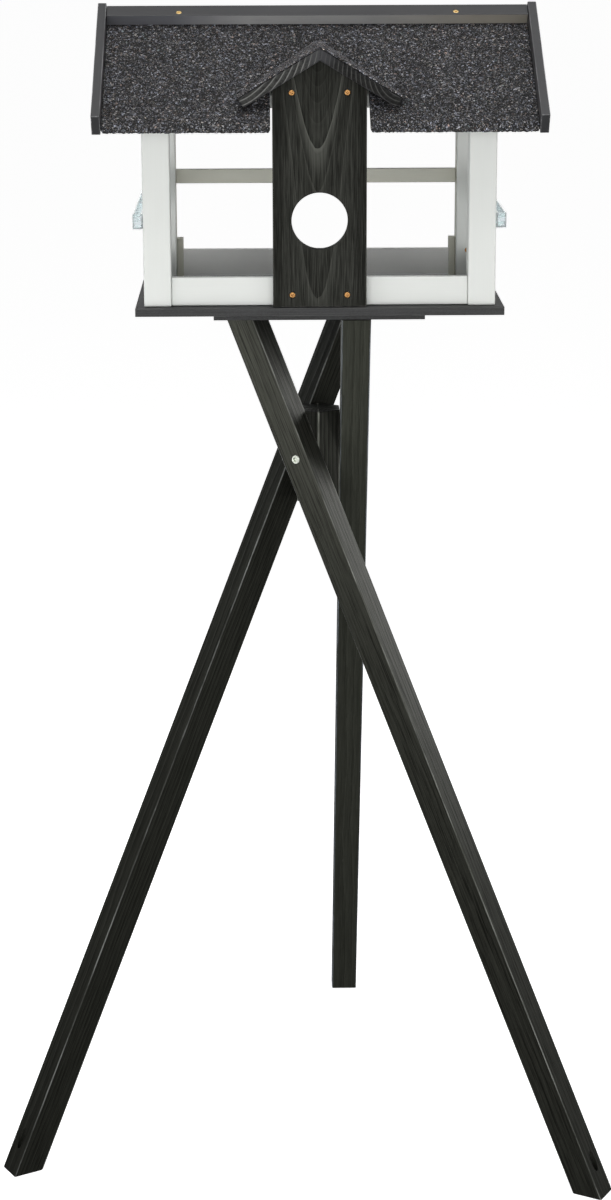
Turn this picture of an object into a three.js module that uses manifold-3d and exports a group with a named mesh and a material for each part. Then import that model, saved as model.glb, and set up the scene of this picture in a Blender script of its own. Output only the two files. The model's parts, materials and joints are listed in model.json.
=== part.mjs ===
// Bird table: an open feeding house with a felted saddle roof and a front dormer,
// standing on three crossed legs that are bolted to a hexagonal hub.
//
// Millimetres, +Z up, ground at z = 0. The pieces are laid out around the stand's vertical
// axis with the front of the house facing -Y; the finished group is then moved so that the
// origin lies on the ground under the centre of the whole object.

import * as THREE from 'three';
import { mergeVertices } from 'three/addons/utils/BufferGeometryUtils.js';
import Module from 'manifold-3d';

const wasm = await Module();
wasm.setup();

// ---------------------------------------------------------------- driving dimensions

const GAP = 0.3; // room left between two pieces that touch
const OVER = 1; // how far a cutting tool runs past the face it cuts

// Stand
const LEG = 34; // side of the square leg timber
const LEG_OFFSET = 43; // stand axis to a leg's centre plane
const LEG_TILT = THREE.MathUtils.degToRad(24.75); // from vertical
const CROSSING_Z = 870; // height where a leg's centre line is nearest the axis
const LEG_FACINGS = { front: -120, rear: 0, left: 120 }; // degrees, outward side of each leg
const STAKE_R = 5.75; // hole for a ground stake, down through each foot
const STAKE_HOLE_TOP = 101; // above any point where the hole leaves the leg
const HUB_HEIGHT = 112;
const HUB_Z = 863; // middle of the hub
const BOLT_Z = 866.5;
const BOLT_REACH = 2.2; // beside the stand's axis, along the leg's broad side
const BOLT_R = 3;
const BOLT_HEAD_R = 5.5;
const BOLT_HEAD_H = 6;
const BOLT_TIP = 10; // stand axis to a bolt's tip
const BOLT_SOCKET_R = 2.9; // corner radius of the hexagon socket
const BOLT_SOCKET_DEPTH = 3;

// Boards under the house
const BASE_TOP = 1060.5;
const BASE_SIZE = [423, 259, 9.5];
const MOUNTING_SIZE = [245, 188, 10];
const MOUNTING_SCREW_AT = [105, 76];

// Frame of the house
const HOUSE_W = 403;
const HOUSE_D = 236;
const POST = 31.5;
const RAIL_H = 32.3;
const RAIL_T = 9.4;
const SETBACK = 4.5; // rail face behind the post face
const FLOOR_CLEARANCE = 0.9; // under the fixed bottom rails
const MID_RAIL_Z = [1176.3, 1193.3];
const MID_SETBACK = 1; // side mid rails, nearly flush so that the troughs can hook on
const TOP_RAIL_Z = 1285;
const TOP_RAIL_T = 18;

// Lift-out rear rail and its channels
const LIFT_RAIL_T = 8.4;
const LIFT_RAIL_Z = [1064, 1096];
const GUIDE_WALL = 2.2;
const GUIDE_REACH = 7.5; // along X
const GUIDE_TOP = 1110;
const CORNER_SCREW_X = 184; // in the rear posts, beside the channels
const CORNER_SCREW_Z = 1096;

// Roof. Depths are measured square to the slope, down from the top edge of the barge boards.
const PITCH = THREE.MathUtils.degToRad(31.07);
const RIDGE_Z = 1396.4;
const ROOF_W = 507.4;
const BARGE_T = 10;
const BARGE_H = 25;
const BARGE_RUN = 219.4; // down the slope from the ridge
const FELT_DEPTH = 16.2;
const FELT_T = 2.5;
const FELT_RUN = 214.5; // to where the eave bends down
const FELT_LIP = 8;
const FELT_LIP_BEND = Math.PI / 4;
const PANEL_T = 5;
const PANEL_RUN = 212;
const RIDGE_BOARD_DEPTH = 2.7;
const RIDGE_BOARD_RUN = 21.9;

// Front board and dormer
const BOARD_W = 107;
const BOARD_T = 11;
const HOLE_R = 32; // entrance
const HOLE_Z = 1159;
const NOTCH_W = 111.4;
const DORMER_PITCH = THREE.MathUtils.degToRad(31);
const DORMER_APEX_Z = 1340.2; // underside of the slats
const DORMER_FRONT = -158;
const SLAT_T = 12;
const SLAT_RUN = 99.9; // along the underside
const DORMER_FELT_T = 2.2;
const HEADER_W = 96; // raised middle of the front top rail
const HEADER_TOP = 1308.5;

// Clear seed troughs on the sides
const TROUGH_W = 11.2;
const TROUGH_H = 17;
const TROUGH_Z = 1149.8;
const TROUGH_WALL = 2;
const HOOK_W = 30;
const HOOK_Y = 50;
const HOOK_LIP = 10;

// Wood screws
const SCREW_HEAD_R = 3.2;
const SCREW_RIM = 0.5; // straight rim of the countersunk head
const SCREW_HEAD_H = 3;
const SCREW_R = 1.6;
const SCREW_POINT = 3;
const SCREW_LENGTH = { board: 19, ridge: 20, mounting: 18, corner: 20, leg: 38 };
const FRONT_SCREW_X = 31.4;
const FRONT_SCREW_Z = [1074.5, 1303];
const RIDGE_SCREW_X = 160;
const RIDGE_SCREW_RUN = 15.8;

// Facets on round shapes
const SIDES = { screw: 10, shank: 16, stake: 20, boltHead: 24, entrance: 40, hexagon: 6 };

// ---------------------------------------------------------------- derived sizes

const BASE_BOTTOM = BASE_TOP - BASE_SIZE[2];
const MOUNTING_TOP = BASE_BOTTOM - GAP;
const MOUNTING_BOTTOM = MOUNTING_TOP - MOUNTING_SIZE[2];
const LEG_TOP = MOUNTING_BOTTOM - GAP;
const POST_IN_X = HOUSE_W / 2 - POST; // inner face of a post
const POST_IN_Y = HOUSE_D / 2 - POST;
const RAIL_Z = [BASE_TOP + FLOOR_CLEARANCE, BASE_TOP + FLOOR_CLEARANCE + RAIL_H];
const RAIL_OUT_Y = HOUSE_D / 2 - SETBACK;
const RAIL_OUT_X = HOUSE_W / 2 - SETBACK;
const BOARD_BACK = -RAIL_OUT_Y - GAP;
const BOARD_FRONT = BOARD_BACK - BOARD_T;
const PANEL_DEPTH = FELT_DEPTH + FELT_T + GAP;
const ROOF_IN_X = ROOF_W / 2 - BARGE_T; // inner face of a barge board
const SLOPE = Math.tan(PITCH);
const DORMER_SLOPE = Math.tan(DORMER_PITCH);

// ---------------------------------------------------------------- materials

const finish = (color, roughness, metalness = 0) => ({ color, roughness, metalness });
const BLACK_WOOD = finish(0x2b2c2a, 0.6);
const BLACK_BOARD = finish(0x3c3d3b, 0.6);
const GREY_PAINT = finish(0x4a4b4d, 0.4);
const WHITE_WOOD = finish(0xdcdfd9, 0.5);
const FELT = finish(0x34353a, 0.9);
const CLEAR_PLASTIC = finish(0xb8d2d8, 0.1);
const BRASS = finish(0xd29a45, 0.35, 0.9);
const ZINC = finish(0xb9bcbc, 0.35, 0.9);

// ---------------------------------------------------------------- geometry helpers

function toSolid(geometry) {
  const bare = geometry.clone();
  bare.deleteAttribute('normal');
  bare.deleteAttribute('uv');
  const merged = mergeVertices(bare);
  return new wasm.Manifold(new wasm.Mesh({
    numProp: 3,
    vertProperties: merged.attributes.position.array,
    triVerts: new Uint32Array(merged.index.array),
  }));
}

function toGeometry(solid) {
  const mesh = solid.getMesh();
  const geometry = new THREE.BufferGeometry();
  geometry.setAttribute('position', new THREE.BufferAttribute(mesh.vertProperties, 3));
  geometry.setIndex(new THREE.BufferAttribute(mesh.triVerts, 1));
  geometry.computeVertexNormals();
  return geometry;
}

function join(...geometries) {
  return toGeometry(geometries.map(toSolid).reduce((sum, solid) => sum.add(solid)));
}

function cut(geometry, tools) {
  return toGeometry(tools.map(toSolid).reduce((rest, tool) => rest.subtract(tool), toSolid(geometry)));
}

// Box between two values on each axis.
function block([x0, x1], [y0, y1], [z0, z1]) {
  const geometry = new THREE.BoxGeometry(x1 - x0, y1 - y0, z1 - z0);
  return geometry.translate((x0 + x1) / 2, (y0 + y1) / 2, (z0 + z1) / 2);
}

function outline(points) {
  return new THREE.Shape(points.map(([u, v]) => new THREE.Vector2(u, v)));
}

// Outline in (y, z), swept from x0 to x1.
function sweepX(points, [x0, x1]) {
  const geometry = new THREE.ExtrudeGeometry(outline(points), { depth: x1 - x0, bevelEnabled: false });
  const axes = new THREE.Matrix4().makeBasis(
    new THREE.Vector3(0, 1, 0), new THREE.Vector3(0, 0, 1), new THREE.Vector3(1, 0, 0));
  return geometry.applyMatrix4(axes).translate(x0, 0, 0);
}

// Outline in (x, z), swept from y0 to y1.
function sweepY(points, [y0, y1]) {
  const geometry = new THREE.ExtrudeGeometry(outline(points), { depth: y1 - y0, bevelEnabled: false });
  return geometry.rotateX(Math.PI / 2).translate(0, y1, 0);
}

// Cylinder from a point along a direction.
function rod(start, direction, length, radius, sides) {
  const way = direction.clone().normalize();
  const geometry = new THREE.CylinderGeometry(radius, radius, length, sides);
  geometry.translate(0, length / 2, 0);
  geometry.applyQuaternion(new THREE.Quaternion().setFromUnitVectors(new THREE.Vector3(0, 1, 0), way));
  return geometry.translate(start.x, start.y, start.z);
}

// Point on the front roof slope: run down from the ridge line, depth square to the slope.
function onSlope(run, depth) {
  const y = -run * Math.cos(PITCH) + depth * Math.sin(PITCH);
  const z = RIDGE_Z - run * Math.sin(PITCH) - depth * Math.cos(PITCH);
  return [y, z];
}

// Run at which a layer of that depth meets the mitre in the middle of the roof.
function mitreRun(depth) {
  return depth * SLOPE + GAP / 2 / Math.cos(PITCH);
}

// One layer of the front slope, from the mitre down to the given run.
function slopeLayer(depth0, depth1, run, span) {
  const corners = [
    onSlope(mitreRun(depth0), depth0),
    onSlope(mitreRun(depth1), depth1),
    onSlope(run, depth1),
    onSlope(run, depth0),
  ];
  return sweepX(corners, span);
}

// Height of the roof panels' underside at a distance from the middle.
function roofUnderside(y) {
  return RIDGE_Z - (PANEL_DEPTH + PANEL_T + GAP) / Math.cos(PITCH) - Math.abs(y) * SLOPE;
}

function toRear(geometry) {
  return geometry.rotateZ(Math.PI);
}

// ---------------------------------------------------------------- fasteners

// A countersunk wood screw. "slack" widens it into the tool that cuts its hole.
function screwGeometry({ head, way, length }, slack = 0) {
  const profile = [
    [0, -slack],
    [SCREW_HEAD_R + slack, -slack],
    [SCREW_HEAD_R + slack, SCREW_RIM],
    [SCREW_R + slack, SCREW_HEAD_H],
    [SCREW_R + slack, length - SCREW_POINT + slack],
    [0, length + slack],
  ];
  const geometry = new THREE.LatheGeometry(profile.map(([r, h]) => new THREE.Vector2(r, h)), SIDES.screw);
  geometry.applyQuaternion(new THREE.Quaternion().setFromUnitVectors(new THREE.Vector3(0, 1, 0), way));
  return geometry.translate(head.x, head.y, head.z);
}

function screwHoles(screws) {
  return screws.map((screw) => screwGeometry(screw, GAP));
}

const BACKWARDS = new THREE.Vector3(0, 1, 0);
const UPWARDS = new THREE.Vector3(0, 0, 1);
const DOWNWARDS = new THREE.Vector3(0, 0, -1);

const frontBoardScrews = FRONT_SCREW_Z.flatMap((z) => [-1, 1].map((side) => ({
  head: new THREE.Vector3(side * FRONT_SCREW_X, BOARD_FRONT, z),
  way: BACKWARDS,
  length: SCREW_LENGTH.board,
  look: BRASS,
})));

function ridgeScrews(front) {
  const [y, z] = onSlope(RIDGE_SCREW_RUN, RIDGE_BOARD_DEPTH);
  const inwards = new THREE.Vector3(0, front * Math.sin(PITCH), -Math.cos(PITCH));
  return [-1, 1].map((side) => ({
    head: new THREE.Vector3(side * RIDGE_SCREW_X, front * y, z),
    way: inwards,
    length: SCREW_LENGTH.ridge,
    look: BRASS,
  }));
}

const mountingScrews = [[-1, -1], [1, -1], [-1, 1], [1, 1]].map(([sx, sy]) => ({
  head: new THREE.Vector3(sx * MOUNTING_SCREW_AT[0], sy * MOUNTING_SCREW_AT[1], MOUNTING_BOTTOM),
  way: UPWARDS,
  length: SCREW_LENGTH.mounting,
  look: ZINC,
}));

const cornerScrews = [-1, 1].map((side) => ({
  head: new THREE.Vector3(side * CORNER_SCREW_X, POST_IN_Y, CORNER_SCREW_Z),
  way: BACKWARDS,
  length: SCREW_LENGTH.corner,
  look: BRASS,
}));

// ---------------------------------------------------------------- stand

// Frame of one leg: n points out of its broad side, t leads to its foot.
function legFrame(facing) {
  const angle = THREE.MathUtils.degToRad(facing);
  const n = new THREE.Vector3(Math.cos(angle), Math.sin(angle), 0);
  const t = new THREE.Vector3(-Math.sin(angle), Math.cos(angle), 0);
  return { n, t };
}

// Distance of a leg's centre line from the crossing, measured along t.
function legReach(z) {
  return (CROSSING_Z - z) * Math.tan(LEG_TILT);
}

function legPoint({ n, t }, reach, z) {
  return n.clone().multiplyScalar(LEG_OFFSET).addScaledVector(t, reach).setZ(z);
}

const legScrews = Object.values(LEG_FACINGS).map((facing) => ({
  head: legPoint(legFrame(facing), legReach(LEG_TOP), MOUNTING_TOP),
  way: DOWNWARDS,
  length: SCREW_LENGTH.leg,
  look: ZINC,
}));

function bolt(facing, slack = 0) {
  const { n, t } = legFrame(facing);
  const inwards = n.clone().negate();
  const face = n.clone().multiplyScalar(LEG_OFFSET + LEG / 2 + slack)
    .addScaledVector(t, BOLT_REACH).setZ(BOLT_Z);
  const reach = LEG_OFFSET + LEG / 2 - BOLT_TIP;
  const head = rod(face, inwards, BOLT_HEAD_H + 2 * slack, BOLT_HEAD_R + slack, SIDES.boltHead);
  const shank = rod(face, inwards, reach + 2 * slack, BOLT_R + slack, SIDES.shank);
  const body = join(head, shank);
  if (slack > 0) {
    return body;
  }
  const above = face.clone().addScaledVector(n, OVER);
  const socket = rod(above, inwards, BOLT_SOCKET_DEPTH + OVER, BOLT_SOCKET_R, SIDES.hexagon);
  return cut(body, [socket]);
}

function leg(facing) {
  const frame = legFrame(facing);
  const half = LEG / 2 / Math.cos(LEG_TILT);
  const foot = legReach(0);
  const top = legReach(LEG_TOP);
  const side = outline([[foot - half, 0], [foot + half, 0], [top + half, LEG_TOP], [top - half, LEG_TOP]]);
  const timber = new THREE.ExtrudeGeometry(side, { depth: LEG, bevelEnabled: false });
  const axes = new THREE.Matrix4().makeBasis(frame.t, UPWARDS, frame.n);
  timber.applyMatrix4(axes);
  const start = frame.n.clone().multiplyScalar(LEG_OFFSET - LEG / 2);
  timber.translate(start.x, start.y, 0);
  const stake = rod(legPoint(frame, foot, -OVER), UPWARDS, STAKE_HOLE_TOP + OVER, STAKE_R, SIDES.stake);
  return cut(timber, [stake, bolt(facing, GAP), ...screwHoles(legScrews)]);
}

function hub() {
  const radius = (LEG_OFFSET - LEG / 2 - GAP) / Math.cos(Math.PI / SIDES.hexagon);
  const prism = new THREE.CylinderGeometry(radius, radius, HUB_HEIGHT, SIDES.hexagon);
  prism.rotateX(Math.PI / 2).translate(0, 0, HUB_Z);
  return cut(prism, Object.values(LEG_FACINGS).map((facing) => bolt(facing, GAP)));
}

function mountingBoard() {
  const [w, d] = MOUNTING_SIZE;
  const board = block([-w / 2, w / 2], [-d / 2, d / 2], [MOUNTING_BOTTOM, MOUNTING_TOP]);
  return cut(board, screwHoles([...legScrews, ...mountingScrews]));
}

// ---------------------------------------------------------------- house frame

function baseBoard() {
  const [w, d] = BASE_SIZE;
  const board = block([-w / 2, w / 2], [-d / 2, d / 2], [BASE_BOTTOM, BASE_TOP]);
  return cut(board, screwHoles(mountingScrews));
}

// side: -1 left, 1 right; front: 1 front, -1 rear
function post(side, front) {
  const bottom = BASE_TOP + GAP;
  const outer = -HOUSE_D / 2;
  const inner = -POST_IN_Y;
  const face = [
    [outer, bottom], [inner, bottom], [inner, roofUnderside(inner)], [outer, roofUnderside(outer)],
  ];
  const span = [side * POST_IN_X, side * HOUSE_W / 2].sort((a, b) => a - b);
  const timber = sweepX(face, front > 0 ? span : [-span[1], -span[0]]);
  const placed = front > 0 ? timber : toRear(timber);
  return cut(placed, screwHoles(cornerScrews));
}

function crossRail(yRange, zRange) {
  const reach = POST_IN_X - GAP;
  return block([-reach, reach], yRange, zRange);
}

function frontBottomRail() {
  return cut(crossRail([-RAIL_OUT_Y, -RAIL_OUT_Y + RAIL_T], RAIL_Z), screwHoles(frontBoardScrews));
}

function sideRail(side, outer, zRange) {
  const reach = POST_IN_Y - GAP;
  const span = [side * outer, side * (outer - RAIL_T)].sort((a, b) => a - b);
  return block(span, [-reach, reach], zRange);
}

// Top rail under the eave, its upper face planed to the slope of the roof.
function topRail() {
  const outer = -RAIL_OUT_Y;
  const inner = outer + TOP_RAIL_T;
  const face = [
    [outer, TOP_RAIL_Z], [inner, TOP_RAIL_Z], [inner, roofUnderside(inner)], [outer, roofUnderside(outer)],
  ];
  return sweepX(face, [GAP - POST_IN_X, POST_IN_X - GAP]);
}

// The front one rises in the middle, through the notch in the roof, to hold the front board.
function frontTopRail() {
  const header = block([-HEADER_W / 2, HEADER_W / 2],
    [-RAIL_OUT_Y, -RAIL_OUT_Y + TOP_RAIL_T], [TOP_RAIL_Z, HEADER_TOP]);
  return cut(join(topRail(), header), screwHoles(frontBoardScrews));
}

function gable(side) {
  const reach = POST_IN_Y - GAP;
  const face = [
    [-reach, TOP_RAIL_Z], [reach, TOP_RAIL_Z], [reach, roofUnderside(reach)],
    [0, roofUnderside(0)], [-reach, roofUnderside(reach)],
  ];
  return sweepX(face, [side * RAIL_OUT_X, side * (RAIL_OUT_X - RAIL_T)].sort((a, b) => a - b));
}

const LIFT_RAIL_Y = [RAIL_OUT_Y - LIFT_RAIL_T, RAIL_OUT_Y];

function liftRail() {
  const reach = POST_IN_X - 2 * GAP - GUIDE_WALL;
  return block([-reach, reach], LIFT_RAIL_Y, LIFT_RAIL_Z);
}

// Upright channel in a rear corner, open at the top and towards the middle.
function guide(side) {
  const wallIn = POST_IN_X - GAP - GUIDE_REACH;
  const y = [LIFT_RAIL_Y[0] - GAP - GUIDE_WALL, LIFT_RAIL_Y[1] + GAP + GUIDE_WALL];
  const span = (a, b) => [side * a, side * b].sort((p, q) => p - q);
  const body = block(span(wallIn, POST_IN_X - GAP), y, [BASE_TOP + GAP, GUIDE_TOP]);
  const groove = block(span(wallIn - OVER, POST_IN_X - GAP - GUIDE_WALL),
    [LIFT_RAIL_Y[0] - GAP, LIFT_RAIL_Y[1] + GAP], [LIFT_RAIL_Z[0] - GAP, GUIDE_TOP + OVER]);
  return cut(body, [groove]);
}

// ---------------------------------------------------------------- roof

const ROOF_SPAN = [GAP - ROOF_IN_X, ROOF_IN_X - GAP];
// The front slope is notched around the front board and the header behind it.
const notch = () => block([-NOTCH_W / 2, NOTCH_W / 2],
  [-BARGE_RUN, -RAIL_OUT_Y + TOP_RAIL_T + GAP], [BASE_TOP, RIDGE_Z]);

function roofPanel(front) {
  const panel = slopeLayer(PANEL_DEPTH, PANEL_DEPTH + PANEL_T, PANEL_RUN, ROOF_SPAN);
  return cut(front > 0 ? cut(panel, [notch()]) : toRear(panel), screwHoles(ridgeScrews(front)));
}

function roofFelt(front) {
  const inner = FELT_DEPTH + FELT_T;
  const [along, down] = [Math.cos(FELT_LIP_BEND), Math.sin(FELT_LIP_BEND)];
  const [lipRun, lipDepth] = [FELT_RUN + FELT_LIP * along, FELT_DEPTH + FELT_LIP * down];
  const corners = [
    onSlope(mitreRun(FELT_DEPTH), FELT_DEPTH),
    onSlope(mitreRun(inner), inner),
    onSlope(FELT_RUN - FELT_T * Math.tan(FELT_LIP_BEND / 2), inner),
    onSlope(lipRun - FELT_T * down, lipDepth + FELT_T * along),
    onSlope(lipRun, lipDepth),
    onSlope(FELT_RUN, FELT_DEPTH),
  ];
  const felt = sweepX(corners, ROOF_SPAN);
  return cut(front > 0 ? cut(felt, [notch()]) : toRear(felt), screwHoles(ridgeScrews(front)));
}

function bargeBoard(side, front) {
  const span = [side * front * ROOF_IN_X, side * front * ROOF_W / 2].sort((a, b) => a - b);
  const board = slopeLayer(0, BARGE_H, BARGE_RUN, span);
  return front > 0 ? board : toRear(board);
}

function ridgeBoard(front) {
  const board = slopeLayer(RIDGE_BOARD_DEPTH, FELT_DEPTH - GAP, RIDGE_BOARD_RUN, ROOF_SPAN);
  return cut(front > 0 ? board : toRear(board), screwHoles(ridgeScrews(front)));
}

// ---------------------------------------------------------------- front board and dormer

function frontBoard() {
  const half = BOARD_W / 2;
  const bottom = BASE_TOP + GAP;
  const apex = DORMER_APEX_Z - GAP / Math.cos(DORMER_PITCH);
  const shoulder = apex - half * DORMER_SLOPE;
  const face = [[-half, bottom], [half, bottom], [half, shoulder], [0, apex], [-half, shoulder]];
  const board = sweepY(face, [BOARD_FRONT, BOARD_BACK]);
  const before = new THREE.Vector3(0, BOARD_FRONT - OVER, HOLE_Z);
  const hole = rod(before, BACKWARDS, BOARD_T + 2 * OVER, HOLE_R, SIDES.entrance);
  return cut(board, [hole, ...screwHoles(frontBoardScrews)]);
}

// Point on the right dormer slope: run from the apex, height square to the underside.
function onDormer(run, height) {
  const x = run * Math.cos(DORMER_PITCH) + height * Math.sin(DORMER_PITCH);
  const z = DORMER_APEX_Z - run * Math.sin(DORMER_PITCH) + height * Math.cos(DORMER_PITCH);
  return [x, z];
}

// Everything under the felted surface of the front slope, to cut the dormer's back end.
function roofBody() {
  const top = onSlope(-FELT_RUN, FELT_DEPTH - GAP);
  const bottom = onSlope(2 * FELT_RUN, FELT_DEPTH - GAP);
  return sweepX([top, bottom, [RIDGE_Z, bottom[1]], [RIDGE_Z, top[1]]], [-ROOF_W, ROOF_W]);
}

const DORMER_SPAN = [DORMER_FRONT, 0];

function dormerSlat(side) {
  const edge = GAP / 2;
  const rise = SLAT_T / Math.cos(DORMER_PITCH);
  const corners = [
    [edge, DORMER_APEX_Z - edge * DORMER_SLOPE],
    onDormer(SLAT_RUN, 0),
    onDormer(SLAT_RUN, SLAT_T),
    [edge, DORMER_APEX_Z - edge * DORMER_SLOPE + rise],
  ];
  return cut(sweepY(corners.map(([x, z]) => [side * x, z]), DORMER_SPAN), [roofBody()]);
}

function dormerFelt() {
  const under = SLAT_T + GAP;
  const over = under + DORMER_FELT_T;
  const apex = (height) => [0, DORMER_APEX_Z + height / Math.cos(DORMER_PITCH)];
  const mirrored = ([x, z]) => [-x, z];
  const lower = onDormer(SLAT_RUN, under);
  const upper = onDormer(SLAT_RUN, over);
  const corners = [apex(under), lower, upper, apex(over), mirrored(upper), mirrored(lower)];
  return cut(sweepY(corners, DORMER_SPAN), [roofBody()]);
}

// ---------------------------------------------------------------- side troughs

function trough(side) {
  const inner = HOUSE_W / 2 + GAP;
  const outer = inner + TROUGH_W;
  const top = TROUGH_Z + TROUGH_H;
  const end = HOUSE_D / 2;
  const hookTop = MID_RAIL_Z[1] + GAP + TROUGH_WALL;
  const lipOut = HOUSE_W / 2 - MID_SETBACK - RAIL_T - GAP;
  const span = (a, b) => [side * a, side * b].sort((p, q) => p - q);
  const tray = block(span(inner, outer), [-end, end], [TROUGH_Z, top]);
  const hollow = block(span(inner + TROUGH_WALL, outer - TROUGH_WALL),
    [TROUGH_WALL - end, end - TROUGH_WALL], [TROUGH_Z + TROUGH_WALL, top + OVER]);
  const hooks = [-1, 1].flatMap((way) => {
    const y = [way * HOOK_Y - HOOK_W / 2, way * HOOK_Y + HOOK_W / 2];
    return [
      block(span(inner, inner + TROUGH_WALL), y, [TROUGH_Z + TROUGH_WALL, hookTop]),
      block(span(lipOut - TROUGH_WALL, inner + TROUGH_WALL), y, [hookTop - TROUGH_WALL, hookTop]),
      block(span(lipOut - TROUGH_WALL, lipOut), y, [hookTop - HOOK_LIP, hookTop]),
    ];
  });
  return join(cut(tray, [hollow]), ...hooks);
}

// ---------------------------------------------------------------- assembly

const assembly = new THREE.Group();

function add(name, geometry, look) {
  const mesh = new THREE.Mesh(geometry, new THREE.MeshStandardMaterial(look));
  mesh.name = name;
  assembly.add(mesh);
}

function addScrews(name, screws) {
  screws.forEach((screw, index) => add(`${name}_${index + 1}`, screwGeometry(screw), screw.look));
}

const sides = { left: -1, right: 1 };
const ends = { front: 1, rear: -1 };

for (const [name, facing] of Object.entries(LEG_FACINGS)) {
  add(`leg_${name}`, leg(facing), BLACK_WOOD);
  add(`hub_bolt_${name}`, bolt(facing), ZINC);
}
add('hub_block', hub(), BLACK_WOOD);
add('mounting_board', mountingBoard(), BLACK_BOARD);
addScrews('leg_screw', legScrews);
addScrews('mounting_screw', mountingScrews);

add('base_board', baseBoard(), BLACK_BOARD);
for (const [end, front] of Object.entries(ends)) {
  for (const [name, side] of Object.entries(sides)) {
    add(`post_${end}_${name}`, post(side, front), WHITE_WOOD);
  }
}
add('bottom_rail_front', frontBottomRail(), WHITE_WOOD);
add('lift_rail_rear', liftRail(), WHITE_WOOD);
add('mid_rail_rear', crossRail([RAIL_OUT_Y - RAIL_T, RAIL_OUT_Y], MID_RAIL_Z), WHITE_WOOD);
add('top_rail_front', frontTopRail(), WHITE_WOOD);
add('top_rail_rear', toRear(topRail()), WHITE_WOOD);
for (const [name, side] of Object.entries(sides)) {
  add(`bottom_rail_${name}`, sideRail(side, RAIL_OUT_X, RAIL_Z), WHITE_WOOD);
  add(`mid_rail_${name}`, sideRail(side, HOUSE_W / 2 - MID_SETBACK, MID_RAIL_Z), WHITE_WOOD);
  add(`gable_${name}`, gable(side), WHITE_WOOD);
  add(`rail_guide_${name}`, guide(side), WHITE_WOOD);
  add(`trough_${name}`, trough(side), CLEAR_PLASTIC);
}
addScrews('corner_screw', cornerScrews);

for (const [end, front] of Object.entries(ends)) {
  add(`roof_panel_${end}`, roofPanel(front), BLACK_BOARD);
  add(`roof_felt_${end}`, roofFelt(front), FELT);
  add(`ridge_board_${end}`, ridgeBoard(front), GREY_PAINT);
  addScrews(`ridge_screw_${end}`, ridgeScrews(front));
  for (const [name, side] of Object.entries(sides)) {
    add(`barge_${end}_${name}`, bargeBoard(side, front), GREY_PAINT);
  }
}

add('front_board', frontBoard(), BLACK_WOOD);
addScrews('front_board_screw', frontBoardScrews);
for (const [name, side] of Object.entries(sides)) {
  add(`dormer_slat_${name}`, dormerSlat(side), BLACK_WOOD);
}
add('dormer_felt', dormerFelt(), FELT);

// Origin on the ground, under the centre of the whole object.
const centre = new THREE.Box3().setFromObject(assembly).getCenter(new THREE.Vector3());
assembly.position.set(-centre.x, -centre.y, 0);

export default assembly;
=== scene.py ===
"""Looks of the bird table: bevelled timbers, granulated felt, screws with driver recesses, clear
troughs and procedural materials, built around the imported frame. Metres, +Z up, front towards -Y."""

import json
import math
import random

import bmesh
import bpy
import numpy as np
from mathutils import Matrix, Vector


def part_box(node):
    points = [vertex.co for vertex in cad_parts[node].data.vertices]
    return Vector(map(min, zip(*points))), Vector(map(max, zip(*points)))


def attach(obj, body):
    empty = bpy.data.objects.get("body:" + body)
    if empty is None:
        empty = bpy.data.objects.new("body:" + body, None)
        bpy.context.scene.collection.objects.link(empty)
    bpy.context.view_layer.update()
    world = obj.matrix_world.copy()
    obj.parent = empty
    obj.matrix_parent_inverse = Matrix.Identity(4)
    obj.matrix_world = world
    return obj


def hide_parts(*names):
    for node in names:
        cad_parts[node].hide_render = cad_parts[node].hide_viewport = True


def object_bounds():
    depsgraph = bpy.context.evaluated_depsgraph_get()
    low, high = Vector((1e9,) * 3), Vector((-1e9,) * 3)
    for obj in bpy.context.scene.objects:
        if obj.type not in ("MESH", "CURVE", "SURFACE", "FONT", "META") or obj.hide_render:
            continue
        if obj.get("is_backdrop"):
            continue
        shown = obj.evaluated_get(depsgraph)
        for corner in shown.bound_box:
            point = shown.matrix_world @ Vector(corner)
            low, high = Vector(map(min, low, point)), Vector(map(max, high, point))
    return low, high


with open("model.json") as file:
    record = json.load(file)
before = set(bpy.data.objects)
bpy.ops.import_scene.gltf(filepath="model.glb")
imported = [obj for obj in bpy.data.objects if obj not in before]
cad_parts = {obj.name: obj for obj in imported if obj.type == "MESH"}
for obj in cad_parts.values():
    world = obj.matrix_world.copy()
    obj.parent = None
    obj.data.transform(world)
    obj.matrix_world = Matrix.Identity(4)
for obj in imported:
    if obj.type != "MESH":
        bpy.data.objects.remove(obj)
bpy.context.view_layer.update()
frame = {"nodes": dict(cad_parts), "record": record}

MM = 0.001
RNG = random.Random(20)

# ---------- driving values

CAMERA_AT = Vector((-0.040055, -3.290190, 1.552599))
CAMERA_YAW = math.radians(0.81688)  # to the right of straight ahead
CAMERA_PITCH = math.radians(15.21850)  # downwards
CAMERA_ROLL = math.radians(-0.17930)
CAMERA_FRAME = 36.0  # sensor height, in millimetres like the lens
CAMERA_LENS = 81.36
CAMERA_SIGHT = 200.0  # reaches past the stage

LEG_ARRIS = 1.8 * MM
TIMBER_ARRIS = 0.9 * MM
PAINTED_ARRIS = 0.8 * MM
POST_ARRIS = 1.6 * MM
SLAT_ARRIS = 2.4 * MM
THIN_ARRIS = 0.5 * MM
HUB_ARRIS = 1.0 * MM
TROUGH_ARRIS = 0.35 * MM
SHORTEST_ARRIS = 7 * MM  # shorter edges belong to holes and stay sharp
SHORTEST_LEG_ARRIS = 100 * MM  # so that the sawn ends stay sharp
SHORTEST_TROUGH_ARRIS = 1.5 * MM
BEVEL_STEPS = 3
SHARP_ANGLE = math.radians(20)  # arrises sharper than this are rounded
SMOOTH_LIMIT = 35  # degrees between faces that share a soft normal
ROUND_LIMIT = 40  # the same on turned pieces

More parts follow.
